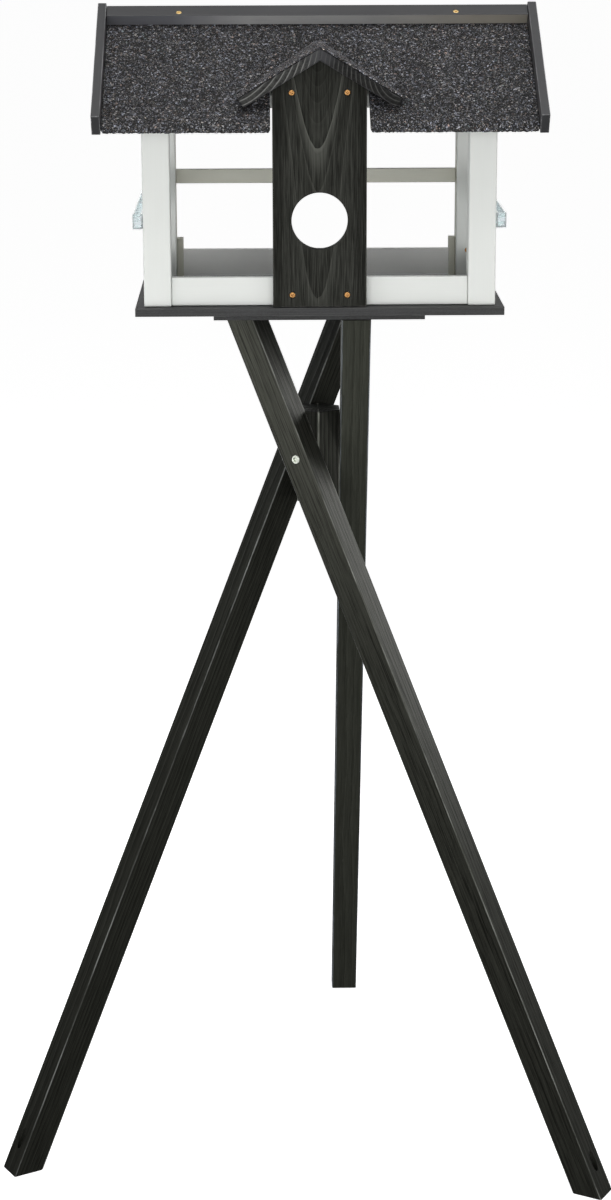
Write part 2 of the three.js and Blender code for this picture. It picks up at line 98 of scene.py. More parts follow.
GRANULE = 1.5 * MM  # spacing of the felt's granules
GRANULE_RELIEF = 0.5 * MM
FELT_THICKNESS = 2.3 * MM  # just inside the CAD solids, like the next one
DORMER_FELT_THICKNESS = 2.0 * MM
FELT_CORNER = 4 * MM
RAGGED = 1.1  # millimetres by which the felt's cut edge varies
LIP_BEND = 3 * MM  # length over which the lip bends
DORMER_FOLD = 6 * MM  # half the width over which the dormer felt folds
DORMER_GAP = 0.3 * MM  # between the dormer felt and the roof felt
NOTCH_HALF = (50 * MM, 80 * MM)  # least and greatest half width of the notch
NOTCH_START = (50 * MM, 20 * MM)  # least distance from its start to the felt's top and bend

ENTRANCE_RADIUS = 32 * MM
ENTRANCE_HEIGHT = 1159 * MM
SCREW_HOLE_RADIUS = 3.5 * MM
SCREW_HOLE_STEPS = 24
ROUND_STEPS = 96
POST_SCREW_LENGTH = 30.0  # millimetres, like all sizes of the fasteners

APEX_TO_PITH = {"left": (-120 * MM, 30 * MM), "right": (95 * MM, -15 * MM)}

ROOM_BELOW = 0.12
ROOM_ABOVE = 0.25
FLOOR_GLOW = 0.75
BACKDROP_GLOW = 0.82
STAGE_REACH = 60.0
HOUSE_CENTRE = (0.02, -0.08, 1.15)
STAND_TOP = (0.0, -0.05, 0.92)

BODY = "stand_and_house"
X_AXIS, Y_AXIS, Z_AXIS = WORLD_AXES = (Vector((1, 0, 0)), Vector((0, 1, 0)), Vector((0, 0, 1)))
# inner faces of the rear posts, which get the painted shade of the shaded white
INWARDS = {"post_rear_left": X_AXIS, "post_rear_right": -X_AXIS}


# ---------- node trees

class Tree:
    """A material's node tree, written as expressions. Lengths inside it are in millimetres."""

    def __init__(self, name):
        self.material = bpy.data.materials.new(name)
        self.material.use_nodes = True
        self.nodes = self.material.node_tree.nodes
        self.links = self.material.node_tree.links
        self.shader = self.nodes["Principled BSDF"]

    def put(self, value, socket):
        if isinstance(value, bpy.types.NodeSocket):
            self.links.new(value, socket)
        else:
            socket.default_value = value

    def math(self, operation, *values, clamp=False):
        node = self.nodes.new("ShaderNodeMath")
        node.operation = operation
        node.use_clamp = clamp
        for value, socket in zip(values, node.inputs):
            self.put(value, socket)
        return node.outputs[0]

    def add(self, *values):
        total = values[0]
        for value in values[1:]:
            total = self.math("ADD", total, value)
        return total

    def times(self, a, b):
        return self.math("MULTIPLY", a, b)

    def clamped(self, value):
        return self.math("MULTIPLY", value, 1.0, clamp=True)

    def smooth(self, value, low, high, start=0.0, end=1.0):
        """Smoothstep from start to end as value goes from low to high."""
        node = self.nodes.new("ShaderNodeMapRange")
        node.interpolation_type = "SMOOTHSTEP"
        for v, socket in zip((value, low, high, start, end), node.inputs):
            self.put(v, socket)
        return node.outputs[0]

    def attribute(self, name):
        """A vector attribute in metres, returned in millimetres."""
        node = self.nodes.new("ShaderNodeAttribute")
        node.attribute_name = name
        return self.scale(node.outputs["Vector"], (1000, 1000, 1000))

    def scale(self, vector, by):
        return self.vector("MULTIPLY", vector, by)

    def vector(self, operation, a, b):
        node = self.nodes.new("ShaderNodeVectorMath")
        node.operation = operation
        self.put(a, node.inputs[0])
        self.put(b, node.inputs[1])
        return node.outputs["Value" if operation == "LENGTH" else "Vector"]

    def split(self, vector):
        node = self.nodes.new("ShaderNodeSeparateXYZ")
        self.put(vector, node.inputs[0])
        return node.outputs

    def join(self, x, y, z):
        node = self.nodes.new("ShaderNodeCombineXYZ")
        for value, socket in zip((x, y, z), node.inputs):
            self.put(value, socket)
        return node.outputs[0]

    def noise(self, vector, stretch, detail=3.0, roughness=0.55):
        """Noise from 0 to 1; stretch is its frequency per millimetre along each axis."""
        node = self.nodes.new("ShaderNodeTexNoise")
        self.put(self.scale(vector, stretch), node.inputs["Vector"])
        node.inputs["Scale"].default_value = 1.0
        node.inputs["Detail"].default_value = detail
        node.inputs["Roughness"].default_value = roughness
        return node.outputs["Fac"]

    def cells(self, vector, per_mm):
        node = self.nodes.new("ShaderNodeTexVoronoi")
        self.put(vector, node.inputs["Vector"])
        node.inputs["Scale"].default_value = per_mm
        return node.outputs

    def ramp(self, value, stops):
        """Colour ramp; stops are (position, grey) or (position, (r, g, b))."""
        node = self.nodes.new("ShaderNodeValToRGB")
        elements = node.color_ramp.elements
        while len(elements) < len(stops):
            elements.new(0.5)
        for element, (position, colour) in zip(elements, stops):
            element.position = position
            rgb = colour if isinstance(colour, tuple) else (colour, colour, colour)
            element.color = (*rgb, 1.0)
        self.put(value, node.inputs[0])
        return node.outputs["Color"]

    def mix(self, share, a, b):
        node = self.nodes.new("ShaderNodeMix")
        node.data_type = "RGBA"
        self.put(share, node.inputs["Factor"])
        for value, socket in ((a, node.inputs[6]), (b, node.inputs[7])):
            self.put((*value, 1.0) if isinstance(value, tuple) else value, socket)
        return node.outputs[2]

    def band(self, value, centre, reach):
        """1 at the centre, falling smoothly to 0 at the reach on both sides."""
        return self.smooth(self.math("ABSOLUTE", self.math("SUBTRACT", value, centre)), 0.0, reach, 1.0, 0.0)

    def bump(self, height, depth_mm, strength=1.0):
        node = self.nodes.new("ShaderNodeBump")
        node.inputs["Strength"].default_value = strength
        node.inputs["Distance"].default_value = depth_mm * MM
        self.put(height, node.inputs["Height"])
        self.links.new(node.outputs[0], self.shader.inputs["Normal"])

    def finish(self, **sockets):
        for name, value in sockets.items():
            socket = self.shader.inputs[name.replace("_", " ")]
            self.put((*value, 1.0) if isinstance(value, tuple) else value, socket)
        return self.material

    def insets(self):
        """Distances in millimetres to the timber's faces, along each of its axes."""
        inside = self.vector("SUBTRACT", self.attribute("half"), self.absolute(self.attribute("section")))
        return self.split(inside)

    def arris(self):
        """Distance in millimetres to the nearest arris of the timber, measured along its face."""
        a, b, c = self.insets()
        low = self.math("MINIMUM", a, b)
        high = self.math("MAXIMUM", a, b)
        return self.math("MAXIMUM", low, self.math("MINIMUM", high, c))

    def long_arris(self):
        """The same, to the arrises that run along the timber."""
        a, b, _ = self.insets()
        return self.math("MAXIMUM", a, b)

    def absolute(self, vector):
        return self.vector("ABSOLUTE", vector, (0, 0, 0))

    def radius(self, grain, wander, depth=None):
        """Distance from the pith, wandering a little along the timber."""
        drift = self.math("SUBTRACT", self.noise(grain, (0.02, 0.02, 0.003), 2.0), 0.5)
        ripple = self.math("SUBTRACT", self.noise(grain, (0.25, 0.25, 0.02), 2.0), 0.5)
        x, y, _ = self.split(grain)
        plain = self.vector("LENGTH", self.join(x, y if depth is None else depth, 0.0), (0, 0, 0))
        return self.add(plain, self.times(drift, wander), self.times(ripple, 0.2 + 0.1 * wander))

    def rings(self, radius, spacing):
        """Growth rings: rises from 0 to 1 across each ring."""
        return self.math("FRACT", self.math("DIVIDE", radius, spacing))


# ---------- materials

STAIN_SHEEN = (1.0, 1.02, 0.86)
# painted highlight: the pale grey laid over the dormer slats towards their apex, where light falls on them
APEX_HIGHLIGHT = (0.062, 0.062, 0.067)
APEX_HIGHLIGHT_REACH = (4.0, 30.0)  # millimetres from the apex: strongest painted highlight, none
FIGURE_HEIGHT = 280.0  # of the front board, in millimetres
FIGURE_DEPTH = 60.0  # of its pith behind the face, where the curve is 1
STRONG_RING = (33.0, 4.2)  # radius and half width in millimetres
WEAKER_RING = (45.0, 2.6)
HUB_FACE = 27.0  # width of one upright face of the hub, in millimetres
RIDGE_HALF = 245.0  # half the length of a ridge board, in millimetres
BROAD_RINGS = [(0.0, 0.95), (0.06, 1.0), (0.17, 0.5), (0.5, 0.34), (0.82, 0.04), (1.0, 0.0)]
THIN_RINGS = [(0.0, 0.45), (0.05, 1.0), (0.15, 0.85), (0.26, 0.16), (0.7, 0.05), (1.0, 0.08)]


def stained_wood(name, dark, light, ring_mm=4.0, wander=9.0, arris_wear_and_highlight=(0.11, 0.11, 0.10),
                 rough=0.5, wear_and_highlight=1.0, shares=(0.40, 0.38, 0.22), figured=None, banded=None, gleam=0.25,
                 lined=False, painted_highlight=None, arris=Tree.arris):
    """Black-stained softwood, brushed so that the hard late wood stands proud and paler.

    shares weigh the rings, the fibres and the broad streaks; figured gives the pith's depth and
    the strength of each ring, banded darkens parts of the face, lined narrows the rings to thin
    pale lines, hazed gives the share of a pale grey painted highlight, and arris the distance to
    the nearest arris. The arrises are paler from wear and, on the legs and hub, from a painted highlight."""
    t = Tree(name)
    grain = t.attribute("grain")
    depth, strength = figured(t, grain) if figured else (None, None)
    radius = t.radius(grain, wander, depth)
    ring = t.rings(radius, ring_mm)
    figure = t.ramp(ring, THIN_RINGS if lined else BROAD_RINGS)
    if strength:
        figure = t.times(figure, strength(t, radius))
    fibres = t.noise(grain, (1.3, 1.3, 0.03), 4.0, 0.6)
    streaks = t.noise(grain, (0.35, 0.35, 0.008), 3.0)
    tone = t.add(t.times(figure, shares[0]), t.times(t.smooth(fibres, 0.32, 0.7), shares[1]),
                 t.times(t.smooth(streaks, 0.3, 0.72), shares[2]))
    if banded:
        tone = t.times(tone, banded(t))
    colour = t.mix(t.clamped(tone), dark, light)
    # painted highlight towards the slats' apex
    if painted_highlight:
        colour = t.mix(painted_highlight(t), colour, APEX_HIGHLIGHT)
    # paler arrises: wear, and on the legs and hub also a painted highlight; the rear leg's bluish arris tone
    # is a painted reflection of the left strip lamp
    edge = t.smooth(arris(t), 0.2, 1.7, 1.0, 0.0)
    scuffs = t.noise(grain, (0.12, 0.12, 0.012), 4.0, 0.65)
    worn = t.times(edge, t.smooth(scuffs, 0.38, 0.66, 0.12 * wear_and_highlight, 0.85 * wear_and_highlight))
    colour = t.mix(worn, colour, arris_wear_and_highlight)
    gloss = t.add(rough, t.times(fibres, 0.22), t.times(figure, -0.08), t.times(edge, -0.15))
    t.bump(t.add(t.times(figure, 0.7), t.times(fibres, 0.6)), 0.22, 0.7)
    t.put(t.smooth(tone, 0.0, 0.7, 0.4 * gleam, 1.6 * gleam), t.shader.inputs["Specular IOR Level"])
    return t.finish(Base_Color=colour, Roughness=gloss, Specular_Tint=STAIN_SHEEN)


def hanging_figure(t, grain):
    """Cathedral figure of the front board: the pith's depth behind the face changes with height,
    so the rings hang in Vs, and two of them are much stronger than the others."""
    height = t.split(grain)[2]
    node = t.nodes.new("ShaderNodeFloatCurve")
    curve = node.mapping.curves[0]
    for point, value in zip(curve.points, ((0.0, 0.740), (1.0, 0.20))):
        point.location = value
    for share, depth in ((0.35, 0.640), (0.70, 0.500)):
        curve.points.new(share, depth)
    node.mapping.update()
    t.put(t.math("DIVIDE", height, FIGURE_HEIGHT), node.inputs["Value"])

    def strength(t, radius):
        return t.add(0.16, t.times(t.band(radius, *STRONG_RING), 1.5),
                     t.times(t.band(radius, *WEAKER_RING), 0.45))

    return t.times(node.outputs[0], FIGURE_DEPTH), strength


def hexagon_arris(t):
    """Distance to the nearest upright arris of the hub, whose first axis points at one of its faces."""
    x, y, _ = t.split(t.attribute("section"))
    turn = t.math("FRACT", t.math("DIVIDE", t.math("ARCTAN2", y, x), math.tau / 6))
    return t.times(t.math("ABSOLUTE", t.math("SUBTRACT", turn, 0.5)), HUB_FACE)


def apex_painted_highlight(end):
    """Painted highlight: pale grey towards the apex end of a dormer slat; end is the side the apex lies on.
    """
    def share(t):
        across = t.split(t.attribute("section"))[1]
        half = t.split(t.attribute("half"))[1]
        return t.smooth(t.math("SUBTRACT", half, t.times(across, end)), *APEX_HIGHLIGHT_REACH, 0.8, 0.0)
    return share


def dark_sides(t):
    """The front board's stain is thicker in a band along both sides."""
    across = t.math("ABSOLUTE", t.split(t.attribute("section"))[0])
    return t.add(t.smooth(across, 38.5, 43.0, 1.0, 0.66), t.times(t.band(across, 42.5, 0.8), 0.5))


def black_board(name, dark, light):
    """Thin stained board with a finely pitted face."""
    t = Tree(name)
    grain = t.attribute("grain")
    pits = t.noise(grain, (1.1, 1.1, 0.8), 4.0, 0.7)
    clouds = t.noise(grain, (0.03, 0.03, 0.012), 3.0)
    streaks = t.noise(grain, (0.5, 0.5, 0.01), 3.0)
    tone = t.add(t.times(t.smooth(pits, 0.35, 0.7), 0.5), t.times(clouds, 0.35),
                 t.times(t.smooth(streaks, 0.3, 0.7), 0.3))
    colour = t.mix(t.clamped(tone), dark, light)
    edge = t.smooth(t.arris(), 0.1, 1.2, 1.0, 0.0)
    worn = t.times(edge, t.smooth(t.noise(grain, (0.15, 0.15, 0.02), 4.0), 0.4, 0.7, 0.1, 0.7))
    t.bump(pits, 0.15, 0.6)
    t.shader.inputs["Specular IOR Level"].default_value = 0.35
    return t.finish(Base_Color=t.mix(worn, colour, (0.14, 0.14, 0.135)),
                    Roughness=t.add(0.48, t.times(pits, 0.25)))


def painted_wood(name, base, shade, arris_wear_and_highlight, rough, wear_and_highlight=0.5, grain_depth=0.1):
    """Opaque satin paint: faint grain through the film, soft clouds in its tone and paler arrises, rubbed by
    wear and on the grey paint partly a painted highlight.
    """
    t = Tree(name)
    grain = t.attribute("grain")
    ring = t.rings(t.radius(grain, 12.0), 5.0)
    brush = t.noise(grain, (0.9, 0.9, 0.012), 4.0, 0.6)
    clouds = t.noise(grain, (0.014, 0.014, 0.006), 3.0)
    specks = t.noise(grain, (0.5, 0.5, 0.4), 5.0, 0.7)
    tone = t.add(t.times(t.smooth(clouds, 0.3, 0.7), 0.55), t.times(t.smooth(brush, 0.3, 0.7), 0.3),
                 t.times(t.smooth(specks, 0.66, 0.78), 0.25))
    colour = t.mix(t.clamped(tone), base, shade)
    # paler arrises: wear, and on the grey paint also a painted highlight
    edge = t.smooth(t.arris(), 0.15, 1.3, 1.0, 0.0)
    scuffs = t.noise(grain, (0.1, 0.1, 0.015), 4.0, 0.7)
    worn = t.times(edge, t.smooth(scuffs, 0.4, 0.7, 0.1, 1.0))
    colour = t.mix(t.times(worn, wear_and_highlight), colour, arris_wear_and_highlight)
    t.bump(t.add(t.times(brush, 0.6), t.times(ring, 0.3), t.times(specks, 0.3)), grain_depth, 0.5)
    t.shader.inputs["Specular IOR Level"].default_value = 0.45
    return t.finish(Base_Color=colour, Roughness=t.add(rough, t.times(brush, 0.12), t.times(clouds, 0.08)))


def ridge_edge_paint(name):
    """Glossier sawn lower edge of the ridge boards, rubbed paler and warmer along its length."""
    t = Tree(name)
    grain = t.attribute("grain")
    along = t.split(t.attribute("section"))[2]
    length = t.smooth(along, -RIDGE_HALF, RIDGE_HALF)
    base = t.ramp(t.math("DIVIDE", t.add(along, RIDGE_HALF), 2 * RIDGE_HALF), [
        (0.0, (0.085, 0.087, 0.096)), (0.16, (0.115, 0.118, 0.13)), (0.34, (0.31, 0.31, 0.31)),
        (0.62, (0.29, 0.29, 0.285)), (0.86, (0.23, 0.215, 0.185)), (1.0, (0.20, 0.185, 0.155))])
    brush = t.noise(grain, (0.9, 0.9, 0.02), 4.0, 0.6)
    patches = t.noise(grain, (0.06, 0.06, 0.03), 3.0)
    tone = t.add(0.55, t.times(brush, 0.3), t.times(patches, 0.5), t.times(length, 0.05))
    colour = t.mix(t.clamped(tone), (0.045, 0.046, 0.05), base)
    t.bump(brush, 0.08, 0.5)
    return t.finish(Base_Color=colour, Roughness=t.add(0.3, t.times(brush, 0.15)))


def roofing_felt(name, brightness=1.0, warm=0.0):
    """Bitumen felt under coarse crushed granules: mostly charcoal, some pale, a few coloured."""
    t = Tree(name)
    place = t.attribute("section")
    big = t.cells(place, 0.52)
    small = t.cells(t.vector("ADD", place, (31, 17, 9)), 1.15)
    chance = t.split(big["Color"])
    chance2 = t.split(small["Color"])
    greys = t.ramp(chance[0], [(0.0, 0.004), (0.5, 0.014), (0.72, 0.070), (0.85, 0.20), (0.94, 0.48),
                               (1.0, 0.95)])
    fine = t.ramp(chance2[1], [(0.0, 0.006), (0.5, 0.018), (0.80, 0.09), (1.0, 0.52)])
    tint = t.ramp(chance[1], [(0.0, (0.90, 0.96, 1.16)), (0.55, (1, 1, 1.06)), (0.9, (1.1, 1, 0.9)),
                              (0.96, (1.3, 0.92, 0.8)), (1.0, (0.8, 1.1, 1.15))])
    grey = t.mix(t.smooth(chance2[0], 0.35, 0.65), greys, fine)
    clouds = t.noise(place, (0.02, 0.02, 0.02), 3.0)
    level = t.smooth(clouds, 0.3, 0.7, 0.82 * brightness, 1.12 * brightness)
    colour = t.vector("MULTIPLY", grey, tint)
    colour = t.vector("MULTIPLY", colour, t.join(level, level, level))
    if warm:
        colour = t.vector("MULTIPLY", colour, (1 + warm, 1.0, 1 - warm))
    gloss = t.ramp(chance2[2], [(0.0, 0.9), (0.8, 0.75), (0.93, 0.4), (1.0, 0.22)])
    height = t.add(t.times(big["Distance"], -1.0), t.times(small["Distance"], -0.5))
    t.bump(height, 0.7, 0.9)
    t.shader.inputs["Specular IOR Level"].default_value = 0.4
    return t.finish(Base_Color=colour, Roughness=gloss)


def clear_plastic(name):
    """Clear acrylic with a blue-green cast and a slightly scratched, dusty surface."""
    t = Tree(name)
    place = t.attribute("section")
    haze = t.noise(place, (0.08, 0.3, 0.05), 4.0, 0.65)
    scratches = t.noise(place, (1.5, 1.5, 0.06), 3.0, 0.7)
    tint = t.mix(t.smooth(haze, 0.35, 0.7), (0.74, 0.86, 0.86), (0.87, 0.90, 0.94))
    t.bump(scratches, 0.05, 0.4)
    t.put(t.smooth(haze, 0.32, 0.68, 0.86, 0.64), t.shader.inputs["Transmission Weight"])
    t.shader.inputs["IOR"].default_value = 1.49
    return t.finish(Base_Color=tint, Roughness=t.add(0.04, t.times(haze, 0.14)))


def metal(name, base, tarnish, rough):
    """Plated screws: bright, with cloudy tarnish and fine turning marks."""
    t = Tree(name)
    place = t.attribute("section")
    clouds = t.noise(place, (0.55, 0.55, 0.55), 4.0, 0.65)
    marks = t.noise(place, (5.0, 5.0, 5.0), 2.0)
    t.bump(marks, 0.03, 0.5)
    t.shader.inputs["Metallic"].default_value = 1.0
    return t.finish(Base_Color=t.mix(t.smooth(clouds, 0.42, 0.72), base, tarnish),
                    Roughness=t.add(rough, t.times(clouds, 0.25)))


LOOKS = {
    # The legs and the hub are one black stain in lit and shaded copies, each toned for how light falls on
    # it; the rear leg is painted lighter and its arrises carry a bluish painted reflection.
    "leg_front": stained_wood("black_leg_front", (0.0035, 0.0035, 0.0029), (0.027, 0.028, 0.023), 5.0, 14.0,
                              arris_wear_and_highlight=(0.34, 0.35, 0.33), shares=(0.30, 0.55, 0.35), rough=0.35,
                              arris=Tree.long_arris),
    "leg_left": stained_wood("black_leg_left", (0.0080, 0.0083, 0.0068), (0.029, 0.030, 0.025), 5.0, 14.0,
                             arris_wear_and_highlight=(0.30, 0.31, 0.30), gleam=0.09, arris=Tree.long_arris),
    "leg_rear": stained_wood("black_leg_rear", (0.028, 0.0295, 0.0235), (0.058, 0.061, 0.049), 5.0, 14.0,
                             arris_wear_and_highlight=(0.45, 0.50, 0.58), rough=0.42, arris=Tree.long_arris),
    "hub": stained_wood("black_hub", (0.0030, 0.0030, 0.0027), (0.024, 0.025, 0.022), 5.0, 14.0,
                        arris_wear_and_highlight=(0.24, 0.25, 0.22), wear_and_highlight=1.4, arris=hexagon_arris),
    "slat_left": stained_wood("black_slat_left", (0.0065, 0.0065, 0.0067), (0.20, 0.20, 0.195), 5.6, 3.0,
                              arris_wear_and_highlight=(0.13, 0.13, 0.135), wear_and_highlight=1.1, shares=(0.8, 0.10, 0.12), lined=True,
                              gleam=0.14, painted_highlight=apex_painted_highlight(1)),
    "slat_right": stained_wood("black_slat_right", (0.0040, 0.0040, 0.0041), (0.070, 0.070, 0.070), 5.0, 3.0,
                               arris_wear_and_highlight=(0.10, 0.10, 0.105), shares=(0.7, 0.14, 0.14), lined=True,
                               gleam=0.10, painted_highlight=apex_painted_highlight(-1)),
    "front": stained_wood("black_front", (0.0032, 0.0032, 0.0026), (0.084, 0.086, 0.077), 4.0, 2.0,
                          shares=(0.50, 0.34, 0.16), figured=hanging_figure, banded=dark_sides, gleam=0.12),
    "board": black_board("black_board", (0.015, 0.015, 0.015), (0.055, 0.056, 0.057)),
    "white": painted_wood("white_paint", (0.775, 0.795, 0.765), (0.735, 0.755, 0.725),
                          (0.84, 0.85, 0.84), 0.36),
    # painted shade: a darker, warmer copy of the white paint for the mid rails, the rail guides and the rear
    # posts' inner faces; on the guides it also gives their own browner tone
    "shaded_white": painted_wood("shaded_white_paint", (0.66, 0.66, 0.57), (0.61, 0.61, 0.53),
                               (0.74, 0.74, 0.70), 0.40),
    # painted light: a lighter copy of the white paint for the rear rail, which lies in shade inside the
    # house
    "lit_white": painted_wood("lit_white_paint", (0.89, 0.89, 0.87), (0.85, 0.85, 0.83),
                                (0.90, 0.90, 0.89), 0.36),
    "grey": painted_wood("grey_paint", (0.062, 0.063, 0.066), (0.082, 0.082, 0.085),
                         (0.42, 0.42, 0.43), 0.34, wear_and_highlight=1.0),
    # painted shade: a darker copy of the grey paint for the barge boards' lower ends, which face down
    "barge": painted_wood("grey_shaded_end", (0.033, 0.034, 0.036), (0.045, 0.045, 0.047),
                          (0.40, 0.40, 0.41), 0.34, wear_and_highlight=1.0),
    "edge": ridge_edge_paint("grey_edge"),
    "felt": roofing_felt("roofing_felt", 0.74),
    # painted light: the dormer's felt is the roof's felt made lighter, standing in for the soft highlight
    # over the dormer
    "dormer_felt": roofing_felt("dormer_felt", 1.3, 0.01),
    "plastic": clear_plastic("clear_plastic"),
    # lit and shaded copies of one brass: the front and corner screws' brass is darkened where they mirror
    # the bright front lamp, the ridge screws' brass is lightened
    "brass": metal("brass", (0.50, 0.27, 0.10), (0.24, 0.11, 0.04), 0.34),
    "lit_brass": metal("lit_brass", (1.0, 0.80, 0.42), (0.78, 0.52, 0.22), 0.42),
    "zinc": metal("zinc", (0.82, 0.85, 0.78), (0.62, 0.65, 0.58), 0.5),
}
SLOTS = {node["node"]: node["material_slot"] for node in frame["record"]["subparts"]}


# ---------- meshes

def clean_copy(node):
    """The CAD solid with its triangles merged back into flat faces."""
    bm = bmesh.new()
    bm.from_mesh(frame["nodes"][node].data)
    bmesh.ops.remove_doubles(bm, verts=bm.verts, dist=0.005 * MM)
    bmesh.ops.dissolve_limit(bm, angle_limit=math.radians(0.5), verts=bm.verts, edges=bm.edges)
    bm.normal_update()
    return bm


def corners_of(node):
    """Corner points of the CAD solid."""
    bm = clean_copy(node)
    points = [v.co.copy() for v in bm.verts]
    bm.free()
    return points


def mesh_of(bm, name):
    """The edited shape as a new mesh; frees the editing copy."""
    mesh = bpy.data.meshes.new(name)
    bm.to_mesh(mesh)
    bm.free()
    return mesh


def grain_axes(bm, along=None):
    """Axes of a timber: normal of its broadest face, the third one, and the way its grain runs."""
    if along is None:
        edge = max(bm.edges, key=lambda e: round(e.calc_length(), 6))
        along = (edge.verts[1].co - edge.verts[0].co).normalized()
        if max(along, key=abs) < 0:
            along = -along
    sides = [f for f in bm.faces if abs(f.normal.dot(along)) < 0.3]
    face = max(sides, key=lambda f: round(f.calc_area(), 8)).normal.copy()
    face = (face - along * face.dot(along)).normalized()
    if max(face, key=abs) < 0:
        face = -face
    return face, along.cross(face).normalized(), along


def round_arrises(bm, width, steps=BEVEL_STEPS, shortest=SHORTEST_ARRIS, wanted=lambda edge: True):
    sharp = [e for e in bm.edges
             if len(e.link_faces) == 2 and e.calc_face_angle(0.0) > SHARP_ANGLE
             and e.calc_length() > shortest and wanted(e)]
    bmesh.ops.bevel(bm, geom=sharp, offset=width, offset_type="OFFSET", segments=steps, profile=0.5,
                    affect="EDGES", clamp_overlap=False)


def soften(mesh, limit_degrees=SMOOTH_LIMIT):
    """Corner normals weighted by area, so that broad faces stay flat and arrises look round."""
    limit = math.cos(math.radians(limit_degrees))
    normals = [Vector(p.normal) for p in mesh.polygons]
    around = [[] for _ in mesh.vertices]
    for polygon in mesh.polygons:
        for vertex in polygon.vertices:
            around[vertex].append(polygon.index)
    corners = []
    for polygon in mesh.polygons:
        own = normals[polygon.index]
        for vertex in polygon.vertices:
            near = [i for i in around[vertex] if normals[i].dot(own) > limit]
            total = sum((normals[i] * mesh.polygons[i].area for i in near), Vector((0, 0, 0)))
            corners.append(total.normalized() if total.length > 0 else own)
    mesh.shade_smooth()
    mesh.normals_split_custom_set(corners)


def set_vectors(mesh, name, rows):
    attribute = mesh.attributes.new(name, "FLOAT_VECTOR", "POINT")
    attribute.data.foreach_set("vector", np.asarray(rows, np.float32).ravel())


def along_axes(points, axes):
    """The points in a timber's own axes."""
    return np.array(points, float) @ np.array([list(axis) for axis in axes]).T


def dress(mesh, axes, pith=None):
    """Stores where each point lies in its timber, for the materials: section, half size and grain."""
    local = along_axes([v.co for v in mesh.vertices], axes)
    low, high = local.min(0), local.max(0)
    section = local - (low + high) / 2
    if pith is None:
        angle = RNG.uniform(0, math.tau)
        reach = RNG.uniform(25, 60) * MM
        pith = (reach * math.cos(angle), reach * math.sin(angle), RNG.uniform(0, 3))
    set_vectors(mesh, "section", section)
    set_vectors(mesh, "half", np.tile((high - low) / 2, (len(local), 1)))
    set_vectors(mesh, "grain", section - np.array(pith))


def place(name, mesh, looks, body, nodes=(), slot=None):
    """Makes the object, gives it its materials and hangs it on its body in place of CAD nodes."""
    piece = bpy.data.objects.new(name, mesh)
    bpy.context.scene.collection.objects.link(piece)
    for look in looks:
        mesh.materials.append(LOOKS[look])
    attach(piece, body)
    if nodes:
        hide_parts(*nodes)
    slot or SLOTS[nodes[0]]
    return piece


def body_of(node):
    return next(b for b, members in frame["record"]["behaviour"]["bodies"].items() if node in members)


def timber(node, look, arris=TIMBER_ARRIS, along=None, pith=None, paint=None, shortest=SHORTEST_ARRIS,
           wanted=lambda edge: True):
    """One solid wooden piece with rounded arrises. paint gives some faces the second look."""
    bm = clean_copy(node)
    axes = grain_axes(bm, along)
    round_arrises(bm, arris, shortest=shortest, wanted=wanted)
    looks = [look]
    if paint:
        towards, second = paint
        looks.append(second)
        for face in bm.faces:
            face.material_index = 1 if face.normal.dot(towards) > 0.97 else 0
    mesh = mesh_of(bm, node + "_finished")
    soften(mesh)
    dress(mesh, axes, pith)
    return place(mesh.name, mesh, looks, body_of(node), [node])


def slope_of(node):
    """A roof layer's outward normal, the way down it, and its height along the normal."""
    bm = clean_copy(node)
    top = max((f for f in bm.faces if f.normal.z > 0.5), key=lambda f: f.calc_area())
    normal = top.normal.copy()
    height = top.verts[0].co.dot(normal)
    bm.free()
    down = Vector((0, normal.y, normal.z)).cross(X_AXIS).normalized()
    return normal, down if down.z < 0 else -down, height


# ---------- felt

def close_under(bm, below, cells):
    """The underside of a sheet: one face for each unbroken run of cells in a row."""
    rows = {}
    for i, j in cells:
        rows.setdefault(i, []).append(j)
    for i, columns in rows.items():
        start = columns[0]
        for j, after in zip(columns, columns[1:] + [None]):
            if after != j + 1:
                span = range(start, j + 2)
                loop = [below[i, k] for k in span if (i, k) in below]
                loop += [below[i + 1, k] for k in reversed(span) if (i + 1, k) in below]
                bm.faces.new(loop)
                start = after


def sheet(name, outer, inner, kept):
    """Closed sheet between two grids of points, made of the cells that are kept."""
    bm = bmesh.new()
    above = [[bm.verts.new(p) for p in row] for row in outer]
    cells = [(i, j) for i in range(len(outer) - 1) for j in range(len(outer[0]) - 1) if kept(i, j)]
    for i, j in cells:
        bm.faces.new((above[i][j], above[i][j + 1], above[i + 1][j + 1], above[i + 1][j]))
    below = {}
    for i, row in enumerate(above):
        for j, vertex in enumerate(row):
            if any(e.is_boundary for e in vertex.link_edges):
                below[i, j] = bm.verts.new(inner[i][j])
    index = {above[i][j]: below[i, j] for i, j in below}
    for edge in [e for e in bm.edges if e.is_boundary]:
        a, b = edge.verts
        bm.faces.new((b, a, index[a], index[b]))
    close_under(bm, below, cells)
    bmesh.ops.delete(bm, geom=[v for v in bm.verts if not v.link_faces], context="VERTS")
    bmesh.ops.recalc_face_normals(bm, faces=bm.faces)
    mesh = mesh_of(bm, name)
    mesh.shade_smooth()
    return mesh


def steps(start, end, pitch):
    """Evenly spaced values from start to end."""
    count = max(1, round(abs(end - start) / pitch))
    return [start + (end - start) * i / count for i in range(count + 1)]


def steps_through(stops):
    """The same over several stretches, with a value on each stop."""
    values = []
    for start, end in zip(stops, stops[1:]):
        values += steps(start, end, GRANULE)[:-1]
    return values + [stops[-1]]


def granules():
    """Depth of one point of the felt below its highest granules."""
    return RNG.uniform(0.0, 1.0) ** 1.5 * GRANULE_RELIEF


